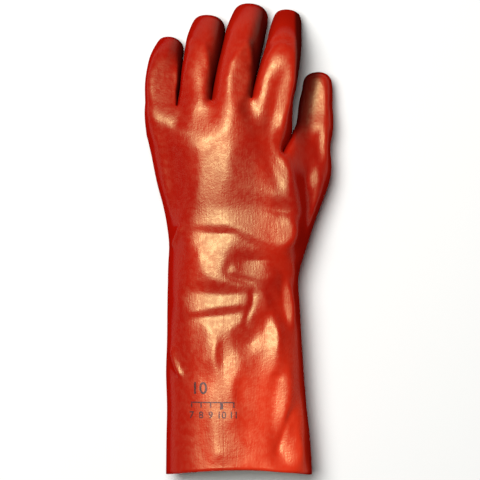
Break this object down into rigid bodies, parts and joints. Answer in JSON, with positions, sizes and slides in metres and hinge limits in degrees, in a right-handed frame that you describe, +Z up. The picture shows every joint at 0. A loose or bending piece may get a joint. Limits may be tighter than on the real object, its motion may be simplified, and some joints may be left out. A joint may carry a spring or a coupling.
{
  "type": "pvc coated work glove",
  "caption": "Long dipped PVC gauntlet for the left hand, lying palm down with curled fingers and a plain cut cuff.",
  "frame": {"origin": "middle of the glove's box at the surface that it lies on", "axes": "+Z up, +Y towards the fingertips, +X towards the thumb"},
  "size_m": [0.1404, 0.351, 0.0605],
  "materials": {
    "red_pvc": "soft gloss, dipped, with a faint grain"
  },
  "bodies": {
    "root": {"glove_shell": "red_pvc"}
  },
  "joints": []
}
